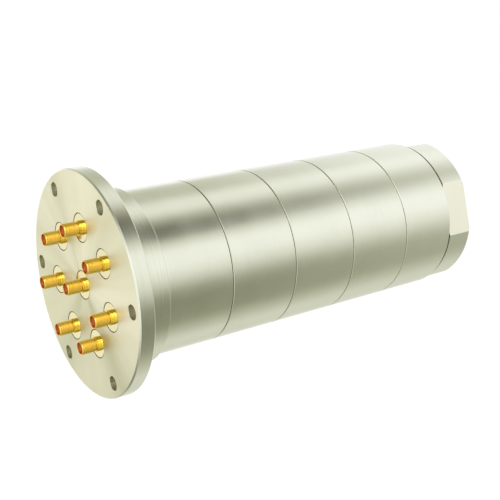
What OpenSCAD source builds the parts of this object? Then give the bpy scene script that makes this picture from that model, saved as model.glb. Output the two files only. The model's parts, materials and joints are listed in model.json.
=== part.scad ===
// Eight-channel flange-mounted slip ring (coaxial rotary joint).
// The axis of rotation is +X. The origin is the centre of the flange's
// mounting face, which is its rear face: the barrel passes through the
// panel towards +X and the connectors point towards -X. +Z is up.
// All lengths are millimetres, all angles are degrees.

/* [Flange] */
// Outside diameter of the flange
flange_d = 105; // [96:0.5:120]
// Thickness of the flange
flange_t = 7.4; // [6:0.1:9]
// Edge break round the front of the flange
flange_edge = 0.65; // [0.2:0.05:1.2]
// How far the flange stands out from the barrel all round
flange_rim = 13.6; // [13:0.1:18]
// Mounting hole centres, in from the edge of the flange
bolt_inset = 6.5; // [5:0.1:7]
// Mounting hole diameter
bolt_hole_d = 6.6; // [4.2:0.1:7]
// Number of mounting holes
bolt_count = 6; // [3:1:8]
// Angle of the first mounting hole
bolt_angle = 3; // [0:1:60]
// How far the pilot shoulder stands out from the barrel
pilot_step = 2.1; // [0.8:0.1:2.6]
// Length of the pilot shoulder behind the flange
pilot_len = 14.1; // [8:0.1:20]

/* [Barrel] */
// Flange face to the first joint line
first_len = 55.2; // [53:0.1:60]
// Length of each of the three middle housings
module_len = 35.5; // [30:0.5:40]
// Length of the end housing
end_len = 31.2; // [28:0.2:36]
// Wall of the housings
housing_wall = 8.4; // [7.8:0.1:9.5]
// Edge break on both sides of a joint line
joint_edge = 0.25; // [0.05:0.05:0.4]
// Length of the spigot that centres one housing in the next
spigot_len = 3; // [2:0.1:4]
// Wall of the spigot
spigot_wall = 1.5; // [1.2:0.05:1.6]

/* [Rotor end] */
// How far the rotor end is sunk below the barrel
rotor_step = 0.5; // [0.1:0.1:1.2]
// Length of the rotor end
rotor_len = 15.3; // [14.5:0.1:20]
// Running gap between the barrel and the rotor end
rotor_gap = 1; // [0.6:0.1:2]
// How deep the wrench flats are cut
flat_depth = 2.55; // [1.5:0.05:3]
// Angle of the first of the four flats
flat_angle = 16.5; // [0:0.5:45]
// Edge break round the rear of the rotor end
rotor_edge = 0.7; // [0.3:0.1:1.2]

/* [Ports] */
// Outer port centres, in from the bore of the housings
port_inset = 3.5; // [3.5:0.1:4.5]
// Angle of the first outer port in the flange
port_angle = 37.3; // [0:0.1:51.4]
// Diameter of the shallow seat round each jack
seat_d = 13.5; // [10:0.1:15]
// Depth of the seat
seat_depth = 0.4; // [0.2:0.05:1.2]
// Thread diameter of a jack
jack_d = 6.35; // [6.25:0.05:6.6]
// Reach of a jack in front of the face
jack_reach = 8.55; // [8:0.05:9.5]
// Threaded length of a jack
jack_thread_len = 6.7; // [5.5:0.1:7]
// Diameter of a jack's neck and body
jack_neck_d = 6.1; // [5.8:0.05:6.2]
// Bore at the mouth of a jack
jack_mouth_d = 5.3; // [4.8:0.05:5.4]
// Depth of the mouth
jack_mouth_len = 1.2; // [0.8:0.1:2.5]
// Diameter of the insulator in a jack
insulator_d = 4.1; // [3.6:0.1:4.4]
// Diameter of the centre contact
contact_d = 1.27; // [1.1:0.01:1.4]

/* [Shaft and bearings] */
// Wall between the outer lead holes' centres and the bearings
bearing_inset = 3.5; // [3:0.1:4]
// Radial height of a bearing, bore to outside
bearing_h = 8.5; // [8.2:0.1:9]
// Width of both ball bearings
bearing_w = 9; // [8:0.1:10]
// Diameter of a bearing ball
ball_d = 5.5; // [5:0.1:5.7]
// Number of balls in a bearing
ball_count = 14; // [8:1:15]
// Wall of the hollow shaft
shaft_wall = 3.5; // [3:0.1:4]

/* [Leads and channels] */
// Diameter of a coaxial lead
lead_d = 2.2; // [1.8:0.1:2.4]
// Rotor rings, in from the outer lead holes' centres
ring_inset = 6.4; // [6:0.1:7]
// Width of a contact ring's raised land
land_w = 8; // [6:0.5:10]
// Wire bundle thickness of a contact spring
spring_d = 2.4; // [2:0.1:2.8]

/* [Hidden] */
$fn = 96;

// Clearances
slip = 0.05;          // radial clearance of a located or screwed fit
run = 0.3;            // radial clearance between rotor and stator parts
race_clearance = 0.06; // clearance of a ball to its races
eps = 0.5;            // how far a cutting tool runs past a face

// Counts that the ports and channels share
outer_ports = 7;
port_step = 360 / outer_ports;
tie_count = 6;
rotor_screw_count = 8;

// Radii that follow from the flange, from the outside in
flange_r = flange_d / 2;
bolt_r = flange_r - bolt_inset;
barrel_r = flange_r - flange_rim;
pilot_r = barrel_r + pilot_step;
housing_bore_r = barrel_r - housing_wall;
port_r = housing_bore_r - port_inset;
collar_r = jack_neck_d / 2 + 0.4;   // collar of a jack behind its wall
front_bore_r = max(housing_bore_r, port_r + collar_r + slip);
spigot_r = housing_bore_r + spigot_wall;
socket_r = spigot_r + slip;
bearing_r = port_r - bearing_inset;
shaft_r = bearing_r - bearing_h;
shaft_bore_r = shaft_r - shaft_wall;
ball_r = ball_d / 2;
pitch_r = (shaft_r + bearing_r) / 2;
race_gap = 0.46 * ball_r;          // race shoulder to pitch circle
lead_r = lead_d / 2;
lead_hole_r = lead_r + 0.2;
ring_r = port_r - ring_inset;
ring_bore_r = ring_r + run;
jack_bore_r = jack_neck_d / 2 + slip;

// Stations along the axis
s_face = -flange_t;
front_wall = 9;
s_wall = s_face + front_wall;
s_joint = [for (i = [0:3]) s_face + first_len + i * module_len];
s_end = s_joint[3] + end_len;
s_rotor = s_end + rotor_gap;
s_rear = s_rotor + rotor_len;

// Bearings and the ring stack between them
carrier_lip = 3;
carrier_lip_r = bearing_r - 2;
seal_w = 3.4;
rear_lip = 0.5;
s_ch0 = s_joint[0] - spigot_len;      // front bearing's rear face
s_front_bearing = s_ch0 - bearing_w;
s_carrier = s_front_bearing - carrier_lip;
s_ch1 = s_end - rear_lip - seal_w - bearing_w;  // rear bearing's front face
channel_pitch = floor(20 * (s_ch1 - s_ch0) / outer_ports) / 20;
nut_w = 5;
nut_r = carrier_lip_r - 1.5;
s_shaft = s_front_bearing - nut_w;
seal_shoulder_r = shaft_r + 2;

// O-rings of the joints
seal_r = 0.5;
seal_gap = 0.02;
seal_depth = 2 * seal_r;

// Tie rods
tie_r = spigot_r + 2.9;
tie_d = 3;
tie_head_d = 5.5;
tie_head_h = 3;
tie_depth = 12;

// Rotor end
rotor_port_angle = flat_angle + port_step / 2;
rotor_wall = 6;
rotor_plate_t = 3.5;
rotor_r = barrel_r - rotor_step;
flat_r = rotor_r - flat_depth;       // flats to the axis
rotor_plate_r = flat_r - 1.45;
rotor_cavity_r = max(rotor_plate_r - 3.8, port_r + collar_r + slip);
s_rotor_wall = s_rear - rotor_wall;
rotor_screw_d = 2;
rotor_screw_head_d = 3.6;
rotor_screw_head_h = 1.6;
rotor_screw_len = 5;
rotor_screw_r = rotor_plate_r - rotor_screw_head_d / 2 - 0.1;
rotor_screw_angle = flat_angle + 180 / rotor_screw_count;

// Jacks
jack_base = seat_depth + jack_reach;   // seat floor to tip
jack_tip_edge = 0.3;
jack_relief_w = 0.45;
jack_relief_depth = 0.3;
collar_h = 1.5;
stub_r = 2.2;
front_stub = 2;
rear_stub = 3;

// Leads inside the shaft
lead_pocket = 2;      // depth of the pocket in a rotor ring
inner_lead_r = shaft_bore_r - 2.8;   // circle of the leads in the shaft
bend_r = 3;
bend_lap = 0.2;       // how far a straight stretch runs into its bend
bend_swell = 0.02;    // how much thicker a bend is than the stretches

// Ball cages
cage_inset = 0.8;

// On-axis channel
axis_plug_len = 14;
axis_nose_r = 4;
axis_nose_len = 13;
bell_wall = 2.4;
bell_r = carrier_lip_r - 0.7 + bell_wall;

// Colours
champagne = [0.80, 0.80, 0.72];
gold = [0.86, 0.66, 0.22];
steel = [0.72, 0.73, 0.75];
ptfe = [0.55, 0.24, 0.12];
brass = [0.80, 0.67, 0.36];
black = [0.12, 0.12, 0.12];
copper = [0.78, 0.50, 0.34];

// ---- Helpers -------------------------------------------------------------

// Turns what is built along +Z to lie along +X.
module along_axis() rotate([0, 90, 0]) children();

// Places children at a clock angle and radius. The angle is seen from the
// flange side, from 3 o'clock and counter-clockwise.
module at_clock(angle, r) rotate([0, 0, -90 - angle]) translate([r, 0, 0]) children();

// A turned ring from station a to station b.
module ring(r_out, r_in, a, b) rotate_extrude() translate([r_in, a]) square([r_out - r_in, b - a]);

// A rod of radius r from station a to station b.
module rod(r, a, b) translate([0, 0, a]) cylinder(r = r, h = b - a);

// Clock angle of port i of a set whose first outer port is at angle.
function port_clock(i, angle) = angle + (i - 1) * port_step;

// Places children on port i: port 0 is on the axis.
module at_port(i, angle) {
    if (i == 0) children();
    else at_clock(port_clock(i, angle), port_r) children();
}

// All eight ports.
module each_port(angle) for (i = [0:outer_ports]) at_port(i, angle) children();

// ---- Stator housings -----------------------------------------------------

// Flange, pilot shoulder and first barrel section, turned in one piece.
module flange_housing() {
    fr = flange_r;
    br = barrel_r;
    pr = pilot_r;
    color(champagne) along_axis() difference() {
        rotate_extrude() polygon([
            [0, s_face], [fr - flange_edge, s_face], [fr, s_face + flange_edge],
            [fr, -joint_edge], [fr - joint_edge, 0],
            [pr, 0], [pr, pilot_len - joint_edge], [pr - joint_edge, pilot_len],
            [br, pilot_len], [br, s_joint[0] - joint_edge], [br - joint_edge, s_joint[0]],
            [socket_r, s_joint[0]], [socket_r, s_carrier], [front_bore_r, s_carrier],
            [front_bore_r, s_wall], [0, s_wall]
        ]);
        for (i = [0:bolt_count - 1])
            at_clock(bolt_angle + i * 360 / bolt_count, bolt_r)
                rod(bolt_hole_d / 2, s_face - eps, eps);
        each_port(port_angle) {
            rod(seat_d / 2, s_face - eps, s_face + seat_depth);
            rod(jack_bore_r, s_face, s_wall + eps);
        }
        tie_positions() rod(tie_d / 2, s_joint[0] - tie_depth - 1, s_joint[0] + eps);
    }
}

// Positions of the tie rods, between the mounting holes.
module tie_positions() for (i = [0:tie_count - 1])
    at_clock(bolt_angle + (i + 0.5) * 360 / tie_count, tie_r) children();

// Outline of a housing tube with its spigot at a and its end at b.
module tube_profile(a, b) polygon([
    [housing_bore_r, a - spigot_len], [spigot_r - joint_edge, a - spigot_len],
    [spigot_r, a - spigot_len + joint_edge], [spigot_r, a],
    [barrel_r - joint_edge, a], [barrel_r, a + joint_edge],
    [barrel_r, b - joint_edge], [barrel_r - joint_edge, b],
    [socket_r, b], [socket_r, b - spigot_len - slip], [housing_bore_r, b - spigot_len - slip]
]);

// Groove for the O-ring round a spigot that starts at a.
module seal_groove(a) rotate_extrude()
    translate([spigot_r - seal_depth, a - spigot_len / 2 - seal_r - seal_gap])
        square([seal_depth + eps, 2 * (seal_r + seal_gap)]);

// One of the three like housings in the middle of the barrel.
module module_housing(i) {
    color(champagne) along_axis() difference() {
        rotate_extrude() tube_profile(s_joint[i - 1], s_joint[i]);
        seal_groove(s_joint[i - 1]);
        tie_positions() rod(tie_d / 2 + slip, s_joint[i - 1] - eps, s_joint[i] + eps);
    }
}

// End housing with the rear bearing seat, the seal pocket and the sunk
// heads of the tie rods.
module end_housing() {
    br = barrel_r;
    a = s_joint[3];
    color(champagne) along_axis() difference() {
        rotate_extrude() polygon([
            [housing_bore_r, a - spigot_len], [spigot_r - joint_edge, a - spigot_len],
            [spigot_r, a - spigot_len + joint_edge], [spigot_r, a],
            [br - joint_edge, a], [br, a + joint_edge],
            [br, s_end - joint_edge], [br - joint_edge, s_end],
            [seal_shoulder_r + run, s_end], [seal_shoulder_r + run, s_end - rear_lip],
            [carrier_lip_r, s_end - rear_lip], [carrier_lip_r, s_ch1 + bearing_w],
            [bearing_r, s_ch1 + bearing_w], [bearing_r, s_ch1], [housing_bore_r, s_ch1]
        ]);
        seal_groove(a);
        tie_positions() {
            rod(tie_d / 2 + slip, a - eps, s_end);
            rod(tie_head_d / 2 + slip, s_end - tie_head_h - 0.3, s_end + eps);
        }
    }
}

// Six long socket-head screws that clamp the housings together.
module tie_rods() color(steel) along_axis() tie_positions() {
    head = s_end - 0.3;
    difference() {
        rod(tie_head_d / 2, head - tie_head_h, head);
        translate([0, 0, head - 1.4]) cylinder(d = 2.9, h = 2, $fn = 6);
    }
    rod(tie_d / 2, s_joint[0] - tie_depth, head - tie_head_h);
}

// O-rings in the four spigots.
module joint_seals() color(black) along_axis() for (a = s_joint)
    rotate_extrude() translate([spigot_r - seal_r + slip / 2, a - spigot_len / 2])
        circle(r = seal_r, $fn = 24);

// Disc that holds the front bearing, with holes for the outer leads.
module bearing_carrier() color(champagne) along_axis() difference() {
    rotate_extrude() polygon([
        [carrier_lip_r, s_carrier], [spigot_r, s_carrier], [spigot_r, s_ch0],
        [bearing_r, s_ch0], [bearing_r, s_front_bearing], [carrier_lip_r, s_front_bearing]
    ]);
    outer_lead_holes(s_carrier, s_ch0);
}

// Holes for the seven outer stator leads.
module outer_lead_holes(a, b) for (i = [1:outer_ports])
    at_port(i, port_angle) rod(lead_hole_r, a - eps, b + eps);

// ---- Jacks ---------------------------------------------------------------
// Each is built with its seat floor at 0 and its mating end towards +Z.

module jack_shell(wall, stub) {
    r = jack_d / 2;
    n = jack_neck_d / 2;
    thread_end = jack_base - jack_thread_len;
    in_wall = wall - seat_depth;
    rotate_extrude() polygon([
        [insulator_d / 2, -in_wall - collar_h - stub + 1], [insulator_d / 2, jack_base - jack_mouth_len],
        [jack_mouth_d / 2, jack_base - jack_mouth_len], [jack_mouth_d / 2, jack_base],
        [r - jack_tip_edge, jack_base], [r, jack_base - jack_tip_edge],
        [r, thread_end + jack_tip_edge], [r - jack_tip_edge, thread_end],
        [n - jack_relief_depth, thread_end], [n - jack_relief_depth, thread_end - jack_relief_w],
        [n, thread_end - jack_relief_w], [n, -in_wall],
        [collar_r, -in_wall], [collar_r, -in_wall - collar_h],
        [stub_r, -in_wall - collar_h], [stub_r, -in_wall - collar_h - stub],
        [0, -in_wall - collar_h - stub], [0, -in_wall - collar_h - stub + 1]
    ]);
}

// Insulating sleeve inside a jack.
module jack_insulator(wall) {
    in_wall = wall - seat_depth;
    ring(insulator_d / 2, contact_d / 2, -in_wall - collar_h, jack_base - jack_mouth_len);
}

// Centre contact of a jack: a socket with four spring fingers.
module jack_contact(wall, stub) {
    tip = jack_base - jack_mouth_len;
    in_wall = wall - seat_depth;
    socket_len = 3;
    slot_w = 0.18;
    difference() {
        rod(contact_d / 2, -in_wall - collar_h - stub + 1, tip);
        rod(0.47, tip - socket_len, tip + eps);
        for (a = [0, 90]) rotate([0, 0, a])
            translate([-contact_d, -slot_w / 2, tip - socket_len + 0.6])
                cube([2 * contact_d, slot_w, socket_len]);
    }
}

// Puts a jack part on port i of the flange, pointing to -X.
module on_flange(i) along_axis() at_port(i, port_angle)
    translate([0, 0, s_face + seat_depth]) rotate([180, 0, 0]) children();

// Puts a jack part on port i of the rotor end, pointing to +X.
module on_rotor(i) along_axis() at_port(i, rotor_port_angle)
    translate([0, 0, s_rear - seat_depth]) children();

module stator_jack(i) color(gold) on_flange(i) jack_shell(front_wall, front_stub);
module stator_jack_insulators() color(ptfe)
    for (i = [0:outer_ports]) on_flange(i) jack_insulator(front_wall);
module stator_jack_contacts() color(gold)
    for (i = [0:outer_ports]) on_flange(i) jack_contact(front_wall, front_stub);

module rotor_jack(i) color(gold) on_rotor(i) jack_shell(rotor_wall, rear_stub);
module rotor_jack_insulators() color(ptfe)
    for (i = [0:outer_ports]) on_rotor(i) jack_insulator(rotor_wall);
module rotor_jack_contacts() color(gold)
    for (i = [0:outer_ports]) on_rotor(i) jack_contact(rotor_wall, rear_stub);

// ---- Channels ------------------------------------------------------------

// Start and middle of channel k's ring, k from 1.
function ring_start(k) = s_ch0 + (k - 1) * channel_pitch;
function ring_mid(k) = ring_start(k) + channel_pitch / 2;

// Fixed ring of channel k, with a groove for its contact spring.
module stator_ring(k) color(brass) along_axis() difference() {
    ring(housing_bore_r - slip, ring_bore_r, ring_start(k), ring_start(k) + channel_pitch);
    rotate_extrude() translate([ring_bore_r + spring_d / 2 - 0.1, ring_mid(k)])
        circle(d = spring_d + 2 * slip, $fn = 32);
    outer_lead_holes(ring_start(k), ring_start(k) + channel_pitch);
}

// Canted-coil contact springs, one in each fixed ring.
module contact_springs() color(copper) along_axis() for (k = [1:outer_ports])
    rotate_extrude() translate([ring_bore_r + spring_d / 2 - 0.1, ring_mid(k)])
        circle(d = spring_d, $fn = 32);

// Turning ring of channel k: a sleeve on the shaft with a raised land, and
// a pocket that takes the end of its lead.
module rotor_ring(k) color(gold) along_axis() difference() {
    sleeve_r = (shaft_r + ring_r) / 2;
    rotate_extrude() polygon([
        [shaft_r, ring_start(k)], [sleeve_r, ring_start(k)],
        [sleeve_r, ring_mid(k) - land_w / 2], [ring_r, ring_mid(k) - land_w / 2],
        [ring_r, ring_mid(k) + land_w / 2], [sleeve_r, ring_mid(k) + land_w / 2],
        [sleeve_r, ring_start(k) + channel_pitch], [shaft_r, ring_start(k) + channel_pitch]
    ]);
    lead_entry(k, shaft_r + lead_pocket);
}

// Radial hole for channel k's rotor lead, out to radius r.
module lead_entry(k, r) translate([0, 0, ring_mid(k)])
    rotate([0, 0, -90 - port_clock(k, rotor_port_angle)]) rotate([0, 90, 0])
        cylinder(r = lead_hole_r, h = r);

// Fixed half of the on-axis channel: a bell over the shaft's front end.
module axis_channel_stator() {
    inner_top = s_shaft - 1;
    hub_r = axis_nose_r + run + 3;
    hub_end = s_shaft - axis_nose_len - 4;
    color(brass) along_axis() rotate_extrude() polygon([
        [bell_r - bell_wall, s_carrier], [bell_r, s_carrier], [bell_r, inner_top - bell_wall],
        [hub_r, inner_top - bell_wall], [hub_r, hub_end], [0, hub_end],
        [0, hub_end + 3], [axis_nose_r + run, hub_end + 3],
        [axis_nose_r + run, inner_top], [bell_r - bell_wall, inner_top]
    ]);
}

// Turning half of the on-axis channel: a plug in the shaft with a nose.
module axis_channel_rotor() color(brass) along_axis() {
    rod(shaft_bore_r - slip, s_shaft, s_shaft + axis_plug_len);
    rod(axis_nose_r, s_shaft - axis_nose_len, s_shaft);
}

// ---- Leads ---------------------------------------------------------------

// Straight coaxial leads from the flange's jacks to their rings.
module stator_leads() {
    start = s_wall + collar_h + front_stub;
    color(copper) along_axis() {
        rod(lead_r, start, s_shaft - axis_nose_len - 4);
        for (k = [1:outer_ports]) at_port(k, port_angle) rod(lead_r, start, ring_mid(k));
    }
}

// Coaxial leads from the rings through the shaft to the rotor's jacks.
module rotor_leads() {
    s_out = s_rotor_wall - collar_h - rear_stub / 2;
    color(copper) along_axis() {
        rod(lead_r, s_shaft + axis_plug_len, s_rotor_wall - collar_h - rear_stub);
        for (k = [1:outer_ports]) rotate([0, 0, -90 - port_clock(k, rotor_port_angle)])
            rotor_lead(ring_mid(k), s_out);
    }
}

// One lead in the XZ plane: in from the ring at station a, along the shaft
// and out again to the jack at station b.
module rotor_lead(a, b) {
    bend_x = inner_lead_r + bend_r;
    radial_lead(a, bend_x - bend_lap, shaft_r + lead_pocket - 0.3);
    translate([inner_lead_r, 0, 0]) rod(lead_r, a + bend_r - bend_lap, b - bend_r + bend_lap);
    radial_lead(b, bend_x - bend_lap, port_r - stub_r);
    translate([bend_x, 0, a + bend_r]) quarter_bend(180);
    translate([bend_x, 0, b - bend_r]) quarter_bend(90);
}

// A stretch of lead at station s from radius r1 to radius r2.
module radial_lead(s, r1, r2) translate([r1, 0, s]) rotate([0, 90, 0]) cylinder(r = lead_r, h = r2 - r1);

// A quarter torus in the XZ plane that starts at the given angle.
module quarter_bend(start) rotate([90, 0, 0]) rotate([0, 0, start])
    rotate_extrude(angle = 90) translate([bend_r, 0]) circle(r = lead_r + bend_swell, $fn = 32);

// ---- Bearings, seal and shaft --------------------------------------------

module race_groove(s) rotate_extrude() translate([pitch_r, s + bearing_w / 2])
    circle(r = ball_r + race_clearance, $fn = 48);

module outer_race(s) color(steel) along_axis() difference() {
    ring(bearing_r, pitch_r + race_gap, s, s + bearing_w);
    race_groove(s);
}
module inner_race(s) color(steel) along_axis() difference() {
    ring(pitch_r - race_gap, shaft_r, s, s + bearing_w);
    race_groove(s);
}
module balls(s) color(steel) along_axis() for (i = [0:ball_count - 1])
    rotate([0, 0, i * 360 / ball_count]) translate([pitch_r, 0, s + bearing_w / 2])
        sphere(r = ball_r, $fn = 32);

// Ring with a drilled pocket for each ball.
module cage(s) {
    half_t = race_gap - 0.4;
    color(brass) along_axis() difference() {
        ring(pitch_r + half_t, pitch_r - half_t, s + cage_inset, s + bearing_w - cage_inset);
        for (i = [0:ball_count - 1]) rotate([0, 0, i * 360 / ball_count])
            translate([pitch_r - 2 * half_t, 0, s + bearing_w / 2]) rotate([0, 90, 0])
                cylinder(r = ball_r + 0.1, h = 4 * half_t, $fn = 48);
    }
}

// Lip seal behind the rear bearing.
module shaft_seal() color(black) along_axis()
    ring(carrier_lip_r, seal_shoulder_r + slip, s_ch1 + bearing_w, s_end - rear_lip);

// Slotted nut that clamps the stack on the shaft.
module bearing_locknut() color(steel) along_axis() difference() {
    ring(nut_r, shaft_r, s_shaft, s_front_bearing);
    for (i = [0:3]) rotate([0, 0, i * 90])
        translate([nut_r - 1.8, -2, s_shaft - eps]) cube([4, 4, nut_w - 1 + eps]);
}

// Hollow shaft with the plate that closes the rotor end.
module rotor_shaft() color(steel) along_axis() difference() {
    rotate_extrude() polygon([
        [shaft_bore_r, s_shaft], [shaft_r, s_shaft], [shaft_r, s_ch1 + bearing_w],
        [seal_shoulder_r, s_ch1 + bearing_w], [seal_shoulder_r, s_rotor],
        [rotor_plate_r, s_rotor], [rotor_plate_r, s_rotor + rotor_plate_t],
        [shaft_bore_r, s_rotor + rotor_plate_t]
    ]);
    for (k = [1:outer_ports]) lead_entry(k, shaft_r + eps);
    rotor_screw_positions() {
        rod(rotor_screw_d / 2 + slip, s_rotor - eps, s_rotor + rotor_plate_t + eps);
        rod(rotor_screw_head_d / 2 + slip, s_rotor - eps, s_rotor + rotor_screw_head_h + 0.1);
    }
}

module rotor_screw_positions() for (i = [0:rotor_screw_count - 1])
    at_clock(rotor_screw_angle + i * 360 / rotor_screw_count, rotor_screw_r) children();

module rotor_screws() color(steel) along_axis() rotor_screw_positions() {
    head = s_rotor + 0.1 + rotor_screw_head_h;
    difference() {
        rod(rotor_screw_head_d / 2, s_rotor + 0.1, head);
        translate([0, 0, s_rotor]) cylinder(d = 1.7, h = 0.9, $fn = 6);
    }
    rod(rotor_screw_d / 2, head, head + rotor_screw_len);
}

// Rotor end: a cup with four wrench flats and the eight rear ports.
module rotor_end() {
    rr = rotor_r;
    color(champagne) along_axis() difference() {
        intersection() {
            rotate_extrude() polygon([
                [0, s_rotor], [rr - joint_edge, s_rotor], [rr, s_rotor + joint_edge],
                [rr, s_rear - rotor_edge], [rr - rotor_edge, s_rear], [0, s_rear]
            ]);
            rotate([0, 0, -flat_angle]) translate([-flat_r, -flat_r, s_rotor - 1])
                cube([2 * flat_r, 2 * flat_r, rotor_len + 2]);
        }
        rod(rotor_plate_r + slip, s_rotor - eps, s_rotor + rotor_plate_t);
        rod(rotor_cavity_r, s_rotor, s_rotor_wall);
        each_port(rotor_port_angle) {
            rod(seat_d / 2, s_rear - seat_depth, s_rear + eps);
            rod(jack_bore_r, s_rotor_wall - eps, s_rear);
        }
        rotor_screw_positions() rod(rotor_screw_d / 2, s_rotor, s_rotor + rotor_screw_len + 3);
    }
}

// ---- The part ------------------------------------------------------------

flange_housing();
module_housing(1);  // module_housing_1
module_housing(2);  // module_housing_2
module_housing(3);  // module_housing_3
end_housing();
tie_rods();
joint_seals();
bearing_carrier();
for (i = [0:outer_ports]) stator_jack(i);
stator_jack_insulators();
stator_jack_contacts();
for (k = [1:outer_ports]) stator_ring(k);
contact_springs();
axis_channel_stator();
stator_leads();
outer_race(s_front_bearing);  // front_outer_race
outer_race(s_ch1);  // rear_outer_race
shaft_seal();
rotor_end();
rotor_shaft();
rotor_screws();
for (k = [1:outer_ports]) rotor_ring(k);
axis_channel_rotor();
rotor_leads();
inner_race(s_front_bearing);  // front_inner_race
inner_race(s_ch1);  // rear_inner_race
bearing_locknut();
for (i = [0:outer_ports]) rotor_jack(i);
rotor_jack_insulators();
rotor_jack_contacts();
balls(s_front_bearing);  // front_balls
cage(s_front_bearing);  // front_cage
balls(s_ch1);  // rear_balls
cage(s_ch1);  // rear_cage
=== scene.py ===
import json
import math

import bmesh
import bpy
from mathutils import Matrix, Vector


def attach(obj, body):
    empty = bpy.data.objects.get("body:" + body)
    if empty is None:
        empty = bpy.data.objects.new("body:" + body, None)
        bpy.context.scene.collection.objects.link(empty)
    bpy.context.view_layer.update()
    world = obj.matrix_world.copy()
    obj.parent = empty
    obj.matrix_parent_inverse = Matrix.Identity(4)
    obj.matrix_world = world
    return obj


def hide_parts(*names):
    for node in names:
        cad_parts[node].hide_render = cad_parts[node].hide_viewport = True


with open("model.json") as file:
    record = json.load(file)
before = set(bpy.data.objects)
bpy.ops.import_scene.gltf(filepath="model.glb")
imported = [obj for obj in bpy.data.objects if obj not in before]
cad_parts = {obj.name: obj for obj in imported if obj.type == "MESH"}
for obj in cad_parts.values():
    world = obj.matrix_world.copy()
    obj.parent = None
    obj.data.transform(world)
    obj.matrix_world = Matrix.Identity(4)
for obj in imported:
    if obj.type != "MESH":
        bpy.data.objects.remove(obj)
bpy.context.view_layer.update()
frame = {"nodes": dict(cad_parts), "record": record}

NODES = frame["nodes"]
MM = 0.001

# ---- Sizes of the solids, in millimetres ------------------------------------
# They repeat the part's own values. Stations are along X from the mounting face.
S_FACE, S_MOUNT, S_PILOT, S_WALL = -7.4, 0.0, 14.1, 1.6
S_JOINT = [47.8, 83.3, 118.8, 154.3]
S_END, S_ROTOR, S_REAR = 185.5, 186.5, 201.8
S_CARRIER, S_BEARING, BEARING_W, LIP = 32.8, 172.6, 9, 0.5
R_FLANGE, R_PILOT, R_BARREL, R_ROTOR = 52.5, 41.0, 38.9, 38.4
R_BORE, R_SPIGOT, R_SOCKET, SPIGOT, SLIP = 30.5, 32.0, 32.05, 3.0, 0.05
R_BEARING, R_LIP, R_SHOULDER = 23.5, 21.5, 17.3
SEAL_NEAR, SEAL_FAR, SEAL_DEPTH = 0.98, 2.02, 1   # O-ring groove in a spigot, from the joint line
BOLT_R, BOLT_COUNT, BOLT_ANGLE, BOLT_HOLE = 46.0, 6, 3.0, 3.3
PORT_R, PORTS, PORT_ANGLE = 27.0, 7, 37.3
SEAT_R, SEAT_DEPTH, JACK_BORE = 6.75, 0.4, 3.1
FLAT, FLAT_ANGLE = 35.85, 16.5
ROTOR_PORT_ANGLE = FLAT_ANGLE + 180 / PORTS
TIE_R, TIES, TIE_THREAD, TIE_THREAD_LEN = 34.9, 6, 1.5, 13
TIE_HOLE, TIE_HEAD, TIE_HEAD_LEN = 1.55, 2.8, 3.3
S_ROTOR_WALL, R_PLATE, PLATE_T, R_CAVITY = 195.8, 34.4, 3.5, 30.6
SCREW_R, SCREW_HOLE, SCREWS = 32.5, 1.0, 8

# ---- Sizes that only this script gives --------------------------------------
SLIT, SLIT_DEPTH, EDGE = 0.13, 1.2, 0.26   # parting gap beside each joint line, and its bevels
FLANGE_EDGE, MOUNT_EDGE, PILOT_EDGE, REAR_EDGE, HOLE_EDGE = 0.65, 0.5, 0.45, 0.7, 0.15
DISC_R, DISC_DEPTH, RING_DEPTH = 6.35, 0.12, 0.7   # spot face in each seat, and the ring round it
NEAR = 0.02   # how far a polygon may lie from the place where it is looked for


def clock(angle, r):
    """(y, z) of a clock angle at radius r, seen from the flange side."""
    a = math.radians(angle)
    return -r * math.cos(a), r * math.sin(a)


def ports(angle):
    """(y, z) of the eight ports whose first outer one is at angle."""
    return [(0.0, 0.0)] + [clock(angle + i * 360 / PORTS, PORT_R) for i in range(PORTS)]


# ---- Mesh helpers -----------------------------------------------------------
def rounded(points, steps=4):
    """A profile of (x, r) corners; a third value rounds a corner, and a fourth of 1 bevels it."""
    out = []
    n = len(points)
    for i, p in enumerate(points):
        fillet = p[2] if len(p) > 2 else 0
        here = Vector(p[:2])
        if not fillet:
            out.append(tuple(here))
            continue
        a = (Vector(points[i - 1][:2]) - here).normalized()
        b = (Vector(points[(i + 1) % n][:2]) - here).normalized()
        half = math.acos(max(-1, min(1, a.dot(b)))) / 2
        reach = fillet / math.tan(half)
        centre = here + (a + b).normalized() * (fillet / math.sin(half))
        start, end = here + a * reach - centre, here + b * reach - centre
        turn = start.angle_signed(end)
        parts = p[3] if len(p) > 3 else steps
        for k in range(parts + 1):
            v = start.copy()
            v.rotate(Matrix.Rotation(-turn * k / parts, 2))
            out.append(tuple(centre + v))
    return out


def bridge(bm, a, b, around):
    """Joins two rings of points, of which either may be one point on the axis."""
    for k in range(around):
        j = (k + 1) % around
        quad = [a[k % len(a)], a[j % len(a)], b[j % len(b)], b[k % len(b)]]
        bm.faces.new(list(dict.fromkeys(quad)))


def ring(bm, x, r, around, y=0.0, z=0.0):
    """A ring of points round X at (y, z), or one point where r is 0."""
    if r < 1e-6:
        return [bm.verts.new((x * MM, y * MM, z * MM))]
    return [bm.verts.new((x * MM, (y + r * math.cos(t)) * MM, (z + r * math.sin(t)) * MM))
            for t in (2 * math.pi * k / around for k in range(around))]


def lathe(bm, profile, segments, y=0.0, z=0.0):
    """Turns a closed profile round the line (y, z); points with r = 0 lie on it."""
    rings = [ring(bm, x, r, segments, y, z) for x, r in profile]
    for a, b in zip(rings, rings[1:] + rings[:1]):
        if len(a) > 1 or len(b) > 1:
            bridge(bm, a, b, segments)


def to_mesh(bm, name):
    bmesh.ops.recalc_face_normals(bm, faces=bm.faces)
    mesh = bpy.data.meshes.new(name)
    bm.to_mesh(mesh)
    bm.free()
    return mesh


def linked(name, mesh):
    obj = bpy.data.objects.new(name, mesh)
    bpy.context.scene.collection.objects.link(obj)
    return obj


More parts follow.
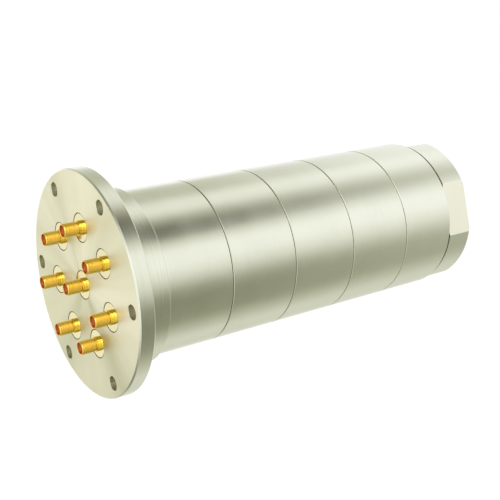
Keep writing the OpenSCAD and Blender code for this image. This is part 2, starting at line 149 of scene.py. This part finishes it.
def turned(name, profile, segments=360):
    bm = bmesh.new()
    lathe(bm, profile, segments)
    return linked(name, to_mesh(bm, name))


def cutter(rods, segments):
    """One object of turned cutters: each is (profile, places)."""
    bm = bmesh.new()
    for profile, places in rods:
        for y, z in places:
            lathe(bm, profile, segments, y, z)
    return linked("cutter", to_mesh(bm, "cutter"))


def applied(obj):
    """Replaces an object's mesh with the result of its modifiers."""
    bpy.context.view_layer.update()
    evaluated = obj.evaluated_get(bpy.context.evaluated_depsgraph_get())
    mesh = bpy.data.meshes.new_from_object(evaluated)
    obj.modifiers.clear()
    obj.data = mesh
    return obj


def cut(obj, tool, operation="DIFFERENCE"):
    m = obj.modifiers.new("cut", "BOOLEAN")
    m.object, m.operation, m.solver = tool, operation, "EXACT"
    applied(obj)
    bpy.data.objects.remove(tool)


def smooth(obj, angle=32):
    """Smooth shading that keeps flat faces flat and real edges sharp."""
    obj.data.shade_smooth()
    obj.data.set_sharp_from_angle(angle=math.radians(angle))
    m = obj.modifiers.new("normals", "WEIGHTED_NORMAL")
    m.keep_sharp, m.weight = True, 100
    return applied(obj)


def rod(r, a, b):
    """Profile of a straight cutter from a to b."""
    return [(a, 0), (a, r), (b, r), (b, 0)]


def flared_rod(r, a, b, edge):
    """Profile of a cutter from a to b that breaks the edges of the hole."""
    return [(a - edge, 0), (a - edge, r + 2 * edge), (a + edge, r),
            (b - edge, r), (b + edge, r + 2 * edge), (b + edge, 0)]


# ---- Shader helpers ---------------------------------------------------------
def feed(tree, socket, value):
    """Links a socket to another one, or sets its value."""
    if isinstance(value, bpy.types.NodeSocket):
        tree.links.new(value, socket)
    else:
        socket.default_value = value


def node(tree, kind, inputs=(), **settings):
    """A node with its settings, and its inputs set or linked by index or name."""
    n = tree.nodes.new(kind)
    for key, value in settings.items():
        setattr(n, key, value)
    for key, value in dict(inputs).items():
        feed(tree, n.inputs[key], value)
    return n


def maths(tree, operation, *values):
    """One step of arithmetic on sockets and numbers."""
    return node(tree, "ShaderNodeMath", enumerate(values), operation=operation).outputs[0]


def map_range(tree, value, low, high, to_low=0.0, to_high=1.0):
    return node(tree, "ShaderNodeMapRange", {"Value": value, "From Min": low, "From Max": high,
                                             "To Min": to_low, "To Max": to_high}).outputs[0]


def mix_colour(tree, share, a, b):
    return node(tree, "ShaderNodeMix", {0: share, 6: a, 7: b}, data_type="RGBA").outputs[2]


def mix_value(tree, share, a, b):
    return node(tree, "ShaderNodeMix", {0: share, 2: a, 3: b}, data_type="FLOAT").outputs[0]


def noise(tree, vector, scale, detail, roughness):
    return node(tree, "ShaderNodeTexNoise", {"Vector": vector, "Scale": scale, "Detail": detail,
                                             "Roughness": roughness}).outputs[0]


def separate(tree, vector):
    return node(tree, "ShaderNodeSeparateXYZ", {0: vector}).outputs


def around_x(tree, y, z):
    """How far a direction is turned about X: 0 to 1 for -180 to 180 degrees above the horizon."""
    side = maths(tree, "MULTIPLY", y, -1.0)
    return map_range(tree, maths(tree, "ARCTAN2", z, side), -math.pi, math.pi)


def ramp(tree, share, stops):
    """Colours by the angle that around_x gives: each stop is (degrees, colour)."""
    n = node(tree, "ShaderNodeValToRGB", {0: share})
    elements = n.color_ramp.elements
    for i, (degrees, colour) in enumerate(stops):
        at = (degrees + 180) / 360
        stop = elements[i] if i < 2 else elements.new(at)
        stop.position, stop.color = at, (*colour, 1)
    return n.outputs[0]


# ---- Materials --------------------------------------------------------------
def new_material(name):
    m = bpy.data.materials.new(name)
    m.use_nodes = True
    tree = m.node_tree
    tree.nodes.clear()
    out = tree.nodes.new("ShaderNodeOutputMaterial")
    shader = tree.nodes.new("ShaderNodeBsdfPrincipled")
    tree.links.new(shader.outputs[0], out.inputs[0])
    return m, tree, shader


def turned_coordinates(tree, along, across):
    """A vector that only changes along X and with the radius, for lathe marks; and the place."""
    place = node(tree, "ShaderNodeTexCoord").outputs["Object"]
    x, y, z = separate(tree, place)
    flat = node(tree, "ShaderNodeCombineXYZ", {1: y, 2: z}).outputs[0]
    radius = node(tree, "ShaderNodeVectorMath", {0: flat}, operation="LENGTH").outputs["Value"]
    marks = {0: maths(tree, "MULTIPLY", x, along), 1: maths(tree, "MULTIPLY", radius, across)}
    return node(tree, "ShaderNodeCombineXYZ", marks).outputs[0], place


def facing_cut_and_painted_fan(tree, face, place, grain, tint, rough, spread):
    """Gives the flat faces across X a tint, a roughness and an anisotropy of their own.

    The tint is a painted fan of light and shade by angle round the axis, which stands in for the
    reflections on the turned faces.
    """
    normal = separate(tree, node(tree, "ShaderNodeTexCoord").outputs["Normal"])
    flat = map_range(tree, maths(tree, "ABSOLUTE", normal[0]), 0.85, 0.98)
    y, z = separate(tree, place)[1:]
    ray = node(tree, "ShaderNodeCombineXYZ", {1: y, 2: z}).outputs[0]
    heading = node(tree, "ShaderNodeVectorMath", {0: ray}, operation="NORMALIZE").outputs[0]
    stops = [(degrees, (level,) * 3) for degrees, level in face["painted_fan"]]
    # Painted light and shade: brightness by angle round the axis, with a fine noise in it.
    painted_fan = ramp(tree, around_x(tree, y, z), stops)
    fine_painted_fan = map_range(tree, noise(tree, heading, 5.0, 2.0, 0.5), 0.3, 0.7, -0.09, 0.09)
    low, high = face["painted_fan_colours"]
    shade = mix_colour(tree, maths(tree, "ADD", painted_fan, fine_painted_fan), (*low, 1), (*high, 1))
    coarse = map_range(tree, grain, 0.3, 0.7, *face["roughness"])
    return (mix_colour(tree, flat, tint, shade), mix_value(tree, flat, rough, coarse),
            mix_value(tree, flat, spread, face["anisotropy"]))


def metal(name, colours, roughness, lines=1400.0, bump=0.03, anisotropy=0.0, mottle=55.0,
          patches=0.35, across=1.0, face=None):
    """Machined metal: lathe lines in bump and roughness, and slow changes of colour.

    lines is how close the lathe lines are, and across the share of them that the faces across X
    get; at 0 every line runs across X. mottle is the scale of the slow changes, and patches their
    share in the roughness. face is the finish of the flat faces across X, where it differs, with a
    painted fan of light and shade on them.
    """
    m, tree, shader = new_material(name)
    vector, place = turned_coordinates(tree, lines, lines * across)
    fine = noise(tree, vector, 1.0, 3.0, 0.6)
    slow = noise(tree, place, mottle, 4.0, 0.55)
    share = map_range(tree, maths(tree, "ADD", slow, fine), 0.75, 1.25)
    tint = mix_colour(tree, share, *[(*c, 1) for c in colours])
    grain = mix_value(tree, patches, fine, slow)
    rough, spread = map_range(tree, grain, 0.3, 0.7, *roughness), anisotropy
    if face:
        tint, rough, spread = facing_cut_and_painted_fan(tree, face, place, grain, tint, rough, spread)
    feed(tree, shader.inputs["Base Color"], tint)
    feed(tree, shader.inputs["Roughness"], rough)
    feed(tree, shader.inputs["Metallic"], 1.0)
    lift = node(tree, "ShaderNodeBump", {"Strength": bump, "Distance": 0.0002, "Height": fine})
    feed(tree, shader.inputs["Normal"], lift.outputs[0])
    if anisotropy:
        feed(tree, shader.inputs["Anisotropic"], spread)
        feed(tree, shader.inputs["Anisotropic Rotation"], 0.25)
        tangent = node(tree, "ShaderNodeTangent", direction_type="RADIAL", axis="X")
        feed(tree, shader.inputs["Tangent"], tangent.outputs[0])
    return m


def soft_material(name, colours, roughness, scale):
    """Rubber or plastic: a fine moulded grain."""
    m, tree, shader = new_material(name)
    grain = noise(tree, node(tree, "ShaderNodeTexCoord").outputs["Object"], scale, 5.0, 0.6)
    feed(tree, shader.inputs["Base Color"], mix_colour(tree, grain, *[(*c, 1) for c in colours]))
    feed(tree, shader.inputs["Roughness"], map_range(tree, grain, 0.3, 0.7, *roughness))
    lift = node(tree, "ShaderNodeBump", {"Strength": 0.2, "Distance": 0.0002, "Height": grain})
    feed(tree, shader.inputs["Normal"], lift.outputs[0])
    return m


# Each has two colours that it wanders between, and a range of roughness. FACED is for the faces
# across X: its painted fan gives painted light and shade by angle, in degrees.
FACED = {
    "painted_fan_colours": ((0.69, 0.675, 0.45), (1.0, 0.975, 0.75)), "roughness": (0.44, 0.52),
    "anisotropy": 0.6,
    "painted_fan": [(-180, 0.45), (-145, 0.40), (-120, 0.12), (-96, 0.50), (-70, 0.42), (-48, 0.05),
             (-26, 0.90), (0, 1.0), (25, 0.50), (52, 0.50), (75, 0.90), (96, 0.80), (120, 0.50),
             (143, 1.0), (166, 0.55)]}
# The flat faces across X of this metal get the painted fan of light and shade from the dict above.
SATIN = metal("champagne_aluminium", ((0.825, 0.84, 0.71), (0.885, 0.90, 0.77)), (0.22, 0.28),
              lines=2600.0, bump=0.02, anisotropy=0.5, patches=0.8, face=FACED)
# Spot faces: a smoother finish, and a brighter, yellower colour than the face round them, a painted
# warm sheen.
SPOT_SHEEN = metal("spot_face_painted_sheen", ((0.88, 0.79, 0.44), (0.94, 0.85, 0.52)), (0.08, 0.12),
             lines=2600.0, bump=0.01)
MILLED = metal("milled_aluminium", ((0.90, 0.885, 0.73), (0.95, 0.935, 0.78)), (0.24, 0.30),
               lines=1100.0, bump=0.02, mottle=20.0, patches=0.2, across=0.0)
# Bolt-hole walls: a rougher drilled finish, and a darker colour painted for the shade inside the
# holes.
BORE_SHADE = metal("drilled_bore_painted_shade", ((0.64, 0.62, 0.45), (0.74, 0.72, 0.55)), (0.32, 0.42),
             lines=2200.0, bump=0.08)
# The ring round each seat: a dark brown painted for the shade down in the narrow ring.
SEAT_RING_SHADE = metal("seat_ring_painted_shade", ((0.28, 0.15, 0.02), (0.36, 0.20, 0.04)), (0.40, 0.50),
               lines=2200.0, bump=0.08)
# The parting gaps and the rotor's front face: near black, painted for the shade down in the gaps.
GAP_SHADE = metal("gap_painted_shade", ((0.12, 0.115, 0.07), (0.18, 0.175, 0.11)), (0.40, 0.50),
            lines=2200.0, bump=0.08)
# The bevels beside the joint lines: rougher, and darker by a painted shade that makes the joint
# lines read dark.
BEVEL_SHADE = metal("bevel_painted_shade", ((0.58, 0.58, 0.42), (0.66, 0.66, 0.49)), (0.34, 0.42),
              lines=2200.0)
# A dark copper red painted on the mouth's wall and floor for the shade and gold inter-reflections
# inside it.
MOUTH_GOLD_SHADE = metal("mouth_gold_painted_shade", ((0.60, 0.20, 0.06), (0.72, 0.27, 0.09)), (0.40, 0.50),
                   lines=2500.0, bump=0.05)
THREAD_GOLD = metal("thread_gold", ((0.88, 0.62, 0.10), (0.96, 0.725, 0.17)), (0.36, 0.46),
                    lines=2500.0, bump=0.05)
INNER = metal("inner_aluminium", ((0.72, 0.72, 0.68), (0.79, 0.79, 0.75)), (0.25, 0.36),
              anisotropy=0.4)
GOLD = metal("gold_plate", ((0.90, 0.62, 0.08), (0.97, 0.72, 0.14)), (0.19, 0.25),
             lines=2500.0, bump=0.02, mottle=300.0)
CONTACT = metal("gold_contact", ((0.90, 0.60, 0.14), (0.96, 0.68, 0.22)), (0.12, 0.2),
                lines=3000.0)
BRASS = metal("turned_brass", ((0.70, 0.52, 0.24), (0.80, 0.63, 0.33)), (0.22, 0.34),
              anisotropy=0.4)
GOLD_RING = metal("gold_ring", ((0.86, 0.58, 0.18), (0.94, 0.68, 0.28)), (0.12, 0.22),
                  lines=2500.0)
COPPER = metal("drawn_copper", ((0.72, 0.38, 0.24), (0.82, 0.48, 0.32)), (0.22, 0.36),
               mottle=200.0)
CAGE = metal("cage_brass", ((0.68, 0.50, 0.22), (0.78, 0.60, 0.30)), (0.26, 0.38))
STEEL = metal("ground_steel", ((0.56, 0.57, 0.58), (0.68, 0.69, 0.70)), (0.16, 0.28),
              lines=2200.0)
# Its reddish brown paints the shade and the gold's inter-reflected glow at the bottom of each
# jack's mouth.
DIELECTRIC_SHADE = soft_material("dielectric", ((0.44, 0.12, 0.035), (0.56, 0.17, 0.055)),
                           (0.45, 0.6), 2500.0)
RUBBER = soft_material("seal_rubber", ((0.018, 0.018, 0.018), (0.035, 0.035, 0.034)),
                       (0.6, 0.8), 1800.0)


def dress(obj, material):
    obj.data.materials.clear()
    obj.data.materials.append(material)


def finish(obj, material, chosen):
    """Gives another material to the polygons for which chosen(centre in mm, normal) holds: a real
    finish, painted light and shade, or both.
    """
    obj.data.materials.append(material)
    index = len(obj.data.materials) - 1
    for polygon in obj.data.polygons:
        if chosen(polygon.center / MM, polygon.normal):
            polygon.material_index = index


def piece(obj, body, replaces, material):
    dress(obj, material)
    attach(obj, body)
    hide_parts(replaces)


# ---- Camera and studio ------------------------------------------------------
def set_camera():
    lens = bpy.data.cameras.new("camera")
    lens.sensor_width, lens.lens = 36.0, 67.23
    lens.clip_start, lens.clip_end = 0.01, 20.0
    eye = bpy.data.objects.new("camera", lens)
    eye.location = (-0.1708, -0.3619, 0.1505)
    eye.rotation_euler = [math.radians(a) for a in (71.04, 0.01, -35.14)]
    bpy.context.scene.collection.objects.link(eye)
    bpy.context.scene.camera = eye


def set_sky():
    """Soft strips of light round the object's axis; the camera itself sees plain white.

    A strip is its angle above the horizon on the camera's side, and its brightness ahead of the
    flange, beside the barrel, and beyond the turning end, where the dark ones run out.
    """
    strips = [
        (-180, 0.95, 1.12, 1.0), (-152, 0.95, 1.02, 1.0), (-122, 0.45, 0.68, 0.74),
        (-95, 0.24, 0.75, 0.71), (-71, 0.54, 0.47, 0.55), (-58, 0.82, 0.29, 0.47),
        (-28, 1.0, 0.22, 0.52), (-14, 1.05, 0.29, 0.68), (6, 1.20, 0.78, 0.93),
        (20, 1.35, 0.97, 1.06), (40, 1.35, 0.97, 1.10), (53, 1.10, 0.52, 1.04),
        (60, 0.80, 0.10, 0.98), (74, 0.48, 0.08, 0.74), (85, 0.34, 0.34, 0.88),
        (98, 0.30, 0.84, 1.04), (112, 0.30, 0.90, 1.12), (130, 0.34, 0.53, 1.03),
        (148, 0.50, 0.56, 1.10), (162, 0.75, 0.68, 1.10), (176, 0.95, 1.12, 1.06)]
    world = bpy.data.worlds.new("studio")
    world.use_nodes = True
    bpy.context.scene.world = world
    tree = world.node_tree
    tree.nodes.clear()
    x, y, z = separate(tree, node(tree, "ShaderNodeTexCoord").outputs["Generated"])
    share = around_x(tree, y, z)

    def warm(level):
        """The darker a strip, the warmer."""
        return level * (1 - 0.02 * (1 - level)), level, level * (1 - 0.36 * (1 - level))

    ahead, beside, beyond = (ramp(tree, share, [(strip[0], warm(strip[i])) for strip in strips])
                             for i in (1, 2, 3))
    near = mix_colour(tree, map_range(tree, x, -0.25, -0.05), ahead, beside)
    ring_light = mix_colour(tree, map_range(tree, x, 0.50, 0.71), near, beyond)
    ends = map_range(tree, maths(tree, "ABSOLUTE", x), 0.76, 0.97)
    look = mix_colour(tree, ends, ring_light, (0.92, 0.91, 0.89, 1))
    seen = node(tree, "ShaderNodeLightPath").outputs["Is Camera Ray"]
    shown = mix_colour(tree, seen, look, (1, 1, 1, 1))
    light = node(tree, "ShaderNodeBackground", {0: shown, 1: 1.0})
    node(tree, "ShaderNodeOutputWorld", {0: light.outputs[0]})


def lay_floor():
    """Pale, white to the camera, and it keeps a soft shadow."""
    bm = bmesh.new()
    bmesh.ops.create_grid(bm, x_segments=1, y_segments=1, size=6.0)
    floor = linked("floor", to_mesh(bm, "floor"))
    floor.location = (0.1, 0.0, -0.16)
    floor.visible_glossy = False
    m = bpy.data.materials.new("floor")
    m.use_nodes = True
    tree = m.node_tree
    tree.nodes.clear()
    plain = node(tree, "ShaderNodeBsdfDiffuse", {0: (0.9, 0.9, 0.9, 1)})
    white = node(tree, "ShaderNodeEmission", {0: (1, 1, 1, 1), 1: 1.12})
    seen = node(tree, "ShaderNodeLightPath").outputs["Is Camera Ray"]
    amount = maths(tree, "MULTIPLY", seen, 0.8)
    both = node(tree, "ShaderNodeMixShader", {0: amount, 1: plain.outputs[0], 2: white.outputs[0]})
    node(tree, "ShaderNodeOutputMaterial", {0: both.outputs[0]})
    dress(floor, m)


def hang_key_lamp():
    """One large soft lamp above the camera's left."""
    lamp = bpy.data.lights.new("key", "AREA")
    lamp.shape, lamp.size, lamp.energy = "DISK", 1.2, 6.0
    key = bpy.data.objects.new("key", lamp)
    key.location = (-0.55, -0.75, 1.1)
    key.rotation_euler = (Vector((0.05, 0, 0)) - key.location).to_track_quat("-Z", "Y").to_euler()
    bpy.context.scene.collection.objects.link(key)


# ---- Where the second finishes and the painted light and shade go -----------
def from_axis(c):
    return math.hypot(c.y, c.z)


def in_seat_ring(c, face, angle):
    """Whether a point lies in the thin ring round a seat, below the spot face."""
    deep = DISC_DEPTH + NEAR < abs(c.x - face) < RING_DEPTH + NEAR / 2
    return deep and any(DISC_R - NEAR < math.hypot(c.y - y, c.z - z) < SEAT_R + NEAR
                        for y, z in ports(angle))


def paint_seat_sheen_and_shade(shell, face, inward, angle):
    """Spot faces with a smoother finish and a painted warm sheen, and rings with painted shade;
    inward is the way into the metal along X.
    """
    # The spot faces get a painted warm sheen.
    finish(shell, SPOT_SHEEN, lambda c, n: abs(n.x) > 0.99
           and abs(c.x - face - inward * DISC_DEPTH) < NEAR)
    # The rings round the seats get painted shade.
    finish(shell, SEAT_RING_SHADE, lambda c, n: in_seat_ring(c, face, angle))


def paint_joint_shade(shell, joints):
    """Painted shade in the parting gaps, and rougher bevels with painted shade beside the joint
    lines.
    """
    def beside(c, reach):
        return any(abs(c.x - joint) < SLIT + reach + NEAR for joint in joints)

    def in_gap(c, n):
        inside = R_SPIGOT + 0.1 < from_axis(c) < R_BARREL - 0.2
        return inside and beside(c, 0) and (abs(n.x) > 0.9 or from_axis(c) < R_BARREL - 0.5)

    def on_bevel(c, n):
        return beside(c, EDGE) and 0.2 < abs(n.x) < 0.9 and from_axis(c) > R_BARREL - EDGE - NEAR

    # The gap faces get painted shade.
    finish(shell, GAP_SHADE, in_gap)
    # The bevels beside the joint lines get painted shade.
    finish(shell, BEVEL_SHADE, on_bevel)


# ---- Housings ---------------------------------------------------------------
def tie_places():
    return [clock(BOLT_ANGLE + (i + 0.5) * 360 / TIES, TIE_R) for i in range(TIES)]


def seat_cut(face, inward, through):
    """Profile of the cut for a jack: the ring, the spot face and the bore through the wall."""
    start, deep, disc = (face + inward * d for d in (-0.1, RING_DEPTH, DISC_DEPTH))
    return [(start, 0), (start, SEAT_R), (deep, SEAT_R), (deep, DISC_R), (disc, DISC_R),
            (disc, JACK_BORE), (through, JACK_BORE), (through, 0)]


def flange_housing():
    joint = S_JOINT[0]
    shell = turned("flange_shell", rounded([
        (S_FACE, 0), (S_FACE, R_FLANGE, FLANGE_EDGE, 1), (S_MOUNT, R_FLANGE, MOUNT_EDGE, 1),
        (S_MOUNT, R_PILOT, 0.25), (S_PILOT, R_PILOT, PILOT_EDGE, 1), (S_PILOT, R_BARREL, 0.2),
        (joint - SLIT, R_BARREL, EDGE, 1), (joint - SLIT, R_BARREL - SLIT_DEPTH),
        (joint, R_BARREL - SLIT_DEPTH), (joint, R_SOCKET), (S_CARRIER, R_SOCKET),
        (S_CARRIER, R_BORE), (S_WALL, R_BORE), (S_WALL, 0)]))
    holes = [clock(BOLT_ANGLE + i * 360 / BOLT_COUNT, BOLT_R) for i in range(BOLT_COUNT)]
    cut(shell, cutter([(flared_rod(BOLT_HOLE, S_FACE, S_MOUNT, HOLE_EDGE), holes),
                       (seat_cut(S_FACE, 1, S_WALL + 1), ports(PORT_ANGLE)),
                       (rod(TIE_THREAD, joint - TIE_THREAD_LEN, joint + 1), tie_places())], 96))
    piece(smooth(shell), "stator", "flange_housing", SATIN)
    paint_seat_sheen_and_shade(shell, S_FACE, 1, PORT_ANGLE)
    paint_joint_shade(shell, S_JOINT[:1])
    # The bolt-hole walls get painted shade.
    finish(shell, BORE_SHADE, lambda c, n: abs(n.x) < 0.5 and S_FACE < c.x < S_MOUNT
           and any(math.hypot(c.y - y, c.z - z) < BOLT_HOLE + 0.05 for y, z in holes))


def barrel_section(name, a, b, bore):
    """A tube with a spigot at a; bore gives the inner profile from b back to the spigot."""
    shell = turned(name + "_shell", rounded([
        (a - SPIGOT, R_BORE), (a - SPIGOT, R_SPIGOT, 0.2), (a - SEAL_FAR, R_SPIGOT),
        (a - SEAL_FAR, R_SPIGOT - SEAL_DEPTH), (a - SEAL_NEAR, R_SPIGOT - SEAL_DEPTH),
        (a - SEAL_NEAR, R_SPIGOT), (a, R_SPIGOT), (a, R_BARREL - SLIT_DEPTH),
        (a + SLIT, R_BARREL - SLIT_DEPTH), (a + SLIT, R_BARREL, EDGE, 1)] + bore))
    last = name == "end_housing"
    if last:
        cut(shell, cutter([(rod(TIE_HEAD, S_END - TIE_HEAD_LEN, S_END + 1), tie_places())], 64))
    cut(shell, cutter([(rod(TIE_HOLE, a - 1, b - 1 if last else b + 1), tie_places())], 48))
    piece(smooth(shell), "stator", name, SATIN)
    paint_joint_shade(shell, (a,) if last else (a, b))


def barrel():
    for i, (a, b) in enumerate(zip(S_JOINT, S_JOINT[1:])):
        barrel_section("module_housing_%d" % (i + 1), a, b, [
            (b - SLIT, R_BARREL, EDGE, 1), (b - SLIT, R_BARREL - SLIT_DEPTH),
            (b, R_BARREL - SLIT_DEPTH), (b, R_SOCKET), (b - SPIGOT - SLIP, R_SOCKET),
            (b - SPIGOT - SLIP, R_BORE)])
    barrel_section("end_housing", S_JOINT[3], S_END, [
        (S_END, R_BARREL, EDGE, 1), (S_END, R_SHOULDER), (S_END - LIP, R_SHOULDER),
        (S_END - LIP, R_LIP), (S_BEARING + BEARING_W, R_LIP), (S_BEARING + BEARING_W, R_BEARING),
        (S_BEARING, R_BEARING), (S_BEARING, R_BORE)])


def wrench_flats():
    """A square bar, longer than the turning end, whose sides are the four flats."""
    bm = bmesh.new()
    bmesh.ops.create_cube(bm, size=1.0)
    bmesh.ops.scale(bm, vec=Vector((30 * MM, 2 * FLAT * MM, 2 * FLAT * MM)), verts=bm.verts)
    along = [e for e in bm.edges if abs((e.verts[0].co - e.verts[1].co).x) > 20 * MM]
    bmesh.ops.bevel(bm, geom=along, offset=0.1 * MM, segments=1, affect="EDGES")
    bmesh.ops.rotate(bm, matrix=Matrix.Rotation(math.radians(-FLAT_ANGLE), 3, "X"), verts=bm.verts)
    bmesh.ops.translate(bm, vec=Vector(((S_ROTOR + S_REAR) / 2 * MM, 0, 0)), verts=bm.verts)
    return linked("flats", to_mesh(bm, "flats"))


def rotor_end():
    shell = turned("rotor_end_shell", rounded([
        (S_ROTOR, R_PLATE + SLIP), (S_ROTOR, R_ROTOR, EDGE, 1), (S_REAR, R_ROTOR, REAR_EDGE, 1),
        (S_REAR, 0), (S_ROTOR_WALL, 0), (S_ROTOR_WALL, R_CAVITY), (S_ROTOR + PLATE_T, R_CAVITY),
        (S_ROTOR + PLATE_T, R_PLATE + SLIP)]))
    cut(shell, wrench_flats(), "INTERSECT")
    screws = [clock(FLAT_ANGLE + (i + 0.5) * 360 / SCREWS, SCREW_R) for i in range(SCREWS)]
    cut(shell, cutter([(seat_cut(S_REAR, -1, S_ROTOR_WALL - 1), ports(ROTOR_PORT_ANGLE)),
                       (rod(SCREW_HOLE, S_ROTOR + 1, S_ROTOR + 8), screws)], 96))
    piece(smooth(shell), "rotor", "rotor_end", SATIN)
    paint_seat_sheen_and_shade(shell, S_REAR, -1, ROTOR_PORT_ANGLE)
    # The rotor's front face and front bevel, inside the gap, get painted shade.
    finish(shell, GAP_SHADE, lambda c, n: c.x < S_ROTOR + EDGE + NEAR
           and from_axis(c) > R_PLATE + 0.1)
    facing = [Vector((0, *clock(FLAT_ANGLE + 90 * i, 1.0))) for i in range(4)]
    finish(shell, MILLED, lambda c, n: any(n.dot(f) > 0.9995 and c.dot(f) > FLAT - 0.05
                                           for f in facing))


# ---- Jacks ------------------------------------------------------------------
THREAD_PITCH = 25.4 / 36
JACK_TIP = SEAT_DEPTH + 8.55
THREAD_START, RELIEF = JACK_TIP - 6.7, 0.45   # where the thread starts, and the relief before it
THREAD_LOW, THREAD_HIGH = THREAD_START + 0.05, JACK_TIP - 0.55
R_THREAD, R_ROOT, R_NECK, R_COLLAR, R_RELIEF = 3.175, 2.80, 3.05, 3.35, 2.75
R_RUN_OUT = R_ROOT + 0.02               # where the thread ends, at both of its ends
R_INSULATOR, R_MOUTH, MOUTH = 2.05, 2.65, 1.2
R_STUB, R_BACK, BACK = 2.2, 3.45, 1.5   # the tail, and the collar behind the wall
AROUND, PER_TURN = 72, 8                # points round a jack, and points along one pitch


def thread_radius(phase):
    """Radius of a 60-degree thread at a phase from 0 to 1 along one pitch."""
    t = abs(2 * phase - 1)
    return R_ROOT + (R_THREAD - R_ROOT) * max(0, min(1, (t - 0.10) / 0.86))


def add_thread(bm):
    """The thread follows a helix: each column starts a little further along than the one before."""
    steps = int((THREAD_HIGH - THREAD_LOW) / THREAD_PITCH * PER_TURN) + 2 * PER_TURN
    grid = []
    for i in range(steps + 1):
        row = []
        for k in range(AROUND):
            x = THREAD_LOW - THREAD_PITCH + THREAD_PITCH * (i / PER_TURN + k / AROUND)
            r = R_RUN_OUT
            if THREAD_LOW < x < THREAD_HIGH:
                r = min(thread_radius((i / PER_TURN) % 1), R_RUN_OUT + 1.2 * (x - THREAD_LOW),
                        R_RUN_OUT + 0.9 * (THREAD_HIGH - x))
            x = max(THREAD_LOW, min(THREAD_HIGH, x))
            t = 2 * math.pi * k / AROUND
            row.append(bm.verts.new((x * MM, r * math.cos(t) * MM, r * math.sin(t) * MM)))
        grid.append(row)
    for i in range(steps):
        for k in range(AROUND - 1):
            bm.faces.new([grid[i][k], grid[i][k + 1], grid[i + 1][k + 1], grid[i + 1][k]])
        if i + PER_TURN + 1 <= steps:
            ahead = grid[i + PER_TURN][0], grid[i + PER_TURN + 1][0]
            bm.faces.new([grid[i][-1], *ahead, grid[i + 1][-1]])
    bmesh.ops.remove_doubles(bm, verts=bm.verts, dist=1e-7)
    bmesh.ops.dissolve_degenerate(bm, edges=bm.edges, dist=1e-8)
    bmesh.ops.delete(bm, geom=[v for v in bm.verts if not v.link_faces], context="VERTS")


def end_ring(bm, x):
    """The thread's points at one of its ends, in order round the axis."""
    found = [v for v in bm.verts if abs(v.co.x - x * MM) < 1e-8]
    assert len(found) == AROUND, len(found)
    return sorted(found, key=lambda v: math.atan2(v.co.z, v.co.y) % (2 * math.pi - 1e-6))


def jack_mesh(wall, stub):
    """A jack along local X with its seat floor at 0 and its tip at positive X.

    The thread is made first; the end behind it and the mouth are then joined to its two ends.
    """
    inside = -(wall - SEAT_DEPTH)
    back = inside - BACK
    tail = back - stub
    collar = SEAT_DEPTH - DISC_DEPTH + 0.01
    behind = rounded([
        (tail, 0), (tail, R_STUB, 0.2), (back, R_STUB), (back, R_BACK, 0.15),
        (inside, R_BACK, 0.1), (inside, R_NECK), (collar, R_NECK), (collar, R_COLLAR, 0.03),
        (THREAD_START - RELIEF, R_COLLAR, 0.12), (THREAD_START - RELIEF, R_RELIEF, 0.08),
        (THREAD_START, R_RELIEF, 0.08)], 3)
    mouth = rounded([
        (JACK_TIP - 0.48, R_THREAD - 0.03), (JACK_TIP - 0.30, R_THREAD - 0.03, 0.05),
        (JACK_TIP, R_THREAD - 0.22, 0.05), (JACK_TIP, R_MOUTH, 0.06),
        (JACK_TIP - MOUTH, R_MOUTH, 0.1), (JACK_TIP - MOUTH, R_INSULATOR, 0.05),
        (tail + 1, R_INSULATOR), (tail + 1, 0)], 3)
    bm = bmesh.new()
    add_thread(bm)
    first, last = end_ring(bm, THREAD_LOW), end_ring(bm, THREAD_HIGH)
    for chain in ([ring(bm, x, r, AROUND) for x, r in behind] + [first],
                  [last] + [ring(bm, x, r, AROUND) for x, r in mouth]):
        for a, b in zip(chain, chain[1:]):
            bridge(bm, a, b, AROUND)
    mesh = to_mesh(bm, "jack")
    mesh.shade_smooth()
    mesh.set_sharp_from_angle(angle=math.radians(50))
    return mesh


def on_thread(c, n):
    return THREAD_START + 0.04 < c.x < JACK_TIP - 0.5 and from_axis(c) > R_ROOT - NEAR


def in_mouth(c, n):
    return JACK_TIP - MOUTH - 0.1 < c.x < JACK_TIP - 0.08 and from_axis(c) < R_MOUTH + 0.01


def jacks():
    # The body, the floor of its seats, its wall's thickness, the length of the tails, the port
    # angle, and the turn about Z that points the jacks outwards.
    for side, x, wall, stub, angle, heading in (
            ("stator", S_FACE + SEAT_DEPTH, S_WALL - S_FACE, 2.0, PORT_ANGLE, math.pi),
            ("rotor", S_REAR - SEAT_DEPTH, S_REAR - S_ROTOR_WALL, 3.0, ROTOR_PORT_ANGLE, 0)):
        mesh = jack_mesh(wall, stub)
        turn = Matrix.Rotation(heading, 4, "Z")
        for i, (y, z) in enumerate(ports(angle)):
            obj = linked("%s_jack_%d_body" % (side, i), mesh.copy())
            roll = Matrix.Rotation(math.radians(i * 47), 4, "X")
            obj.matrix_world = Matrix.Translation((x * MM, y * MM, z * MM)) @ turn @ roll
            piece(obj, side, "%s_jack_%d" % (side, i), GOLD)
            finish(obj, THREAD_GOLD, on_thread)
            # The mouth's wall and floor get painted shade.
            finish(obj, MOUTH_GOLD_SHADE, in_mouth)


# ---- Inner pieces -----------------------------------------------------------
def inner_pieces():
    looks = {
        "housing_aluminium": SATIN, "inner_aluminium": INNER, "dielectric": DIELECTRIC_SHADE,
        "gold_plate": GOLD, "gold_contact": CONTACT, "brass": BRASS, "gold_ring": GOLD_RING,
        "copper": COPPER, "seal_rubber": RUBBER, "cage_brass": CAGE, "steel": STEEL}
    for part in frame["record"]["subparts"]:
        dress(NODES[part["node"]], looks[part["material_slot"]])


bpy.context.scene.view_settings.view_transform = "Standard"
set_camera()
set_sky()
lay_floor()
hang_key_lamp()
inner_pieces()
flange_housing()
barrel()
rotor_end()
jacks()
